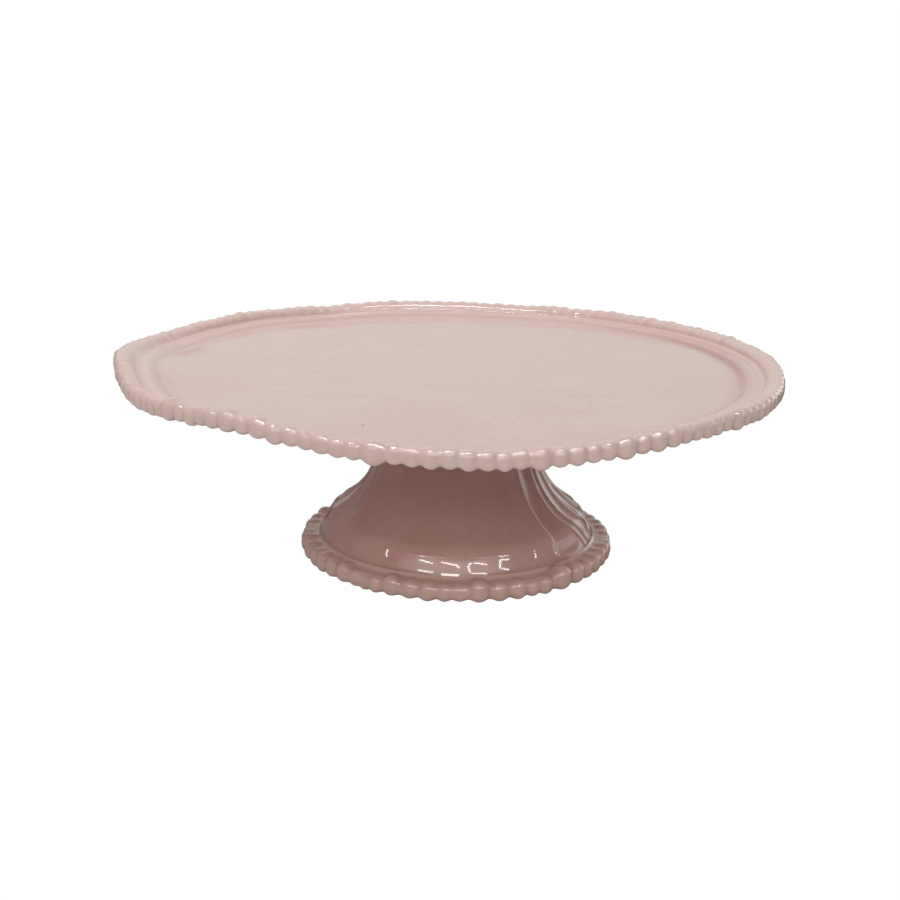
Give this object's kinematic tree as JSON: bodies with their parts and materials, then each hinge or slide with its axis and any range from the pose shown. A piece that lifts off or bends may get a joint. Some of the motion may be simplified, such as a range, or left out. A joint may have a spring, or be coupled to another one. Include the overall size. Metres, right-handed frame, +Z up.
{
  "type": "cake stand",
  "caption": "Round glazed ceramic cake stand: flat plate with a shallow well and a rim of hand-rolled beads, on a hollow flared pedestal with a beaded foot.",
  "frame": {"origin": "on the table, at the centre of the foot", "axes": "+Z up along the axis of the plate and the pedestal; the front of the stand faces -Y"},
  "size_m": [0.3202, 0.3196, 0.1004],
  "materials": {
    "plate_glaze": "gloss",
    "bead_glaze": "gloss",
    "pedestal_glaze": "gloss",
    "foot_bead_glaze": "gloss"
  },
  "bodies": {
    "root": {"plate": "plate_glaze", "pedestal": "pedestal_glaze", "luting_fillet": "pedestal_glaze", "rim_beads_01": "bead_glaze", "rim_beads_02": "bead_glaze", "rim_beads_03": "bead_glaze", "rim_beads_04": "bead_glaze", "rim_beads_05": "bead_glaze", "rim_beads_06": "bead_glaze", "rim_beads_07": "bead_glaze", "rim_beads_08": "bead_glaze", "rim_beads_09": "bead_glaze", "rim_beads_10": "bead_glaze", "rim_beads_11": "bead_glaze", "rim_beads_12": "bead_glaze", "rim_beads_13": "bead_glaze", "rim_beads_14": "bead_glaze", "rim_beads_15": "bead_glaze", "rim_beads_16": "bead_glaze", "rim_beads_17": "bead_glaze", "rim_beads_18": "bead_glaze", "rim_beads_19": "bead_glaze", "rim_beads_20": "bead_glaze", "rim_beads_21": "bead_glaze", "rim_beads_22": "bead_glaze", "rim_beads_23": "bead_glaze", "rim_beads_24": "bead_glaze", "foot_beads_01": "foot_bead_glaze", "foot_beads_02": "foot_bead_glaze", "foot_beads_03": "foot_bead_glaze", "foot_beads_04": "foot_bead_glaze", "foot_beads_05": "foot_bead_glaze", "foot_beads_06": "foot_bead_glaze", "foot_beads_07": "foot_bead_glaze", "foot_beads_08": "foot_bead_glaze", "foot_beads_09": "foot_bead_glaze", "foot_beads_10": "foot_bead_glaze", "foot_beads_11": "foot_bead_glaze", "foot_beads_12": "foot_bead_glaze"}
  },
  "joints": []
}
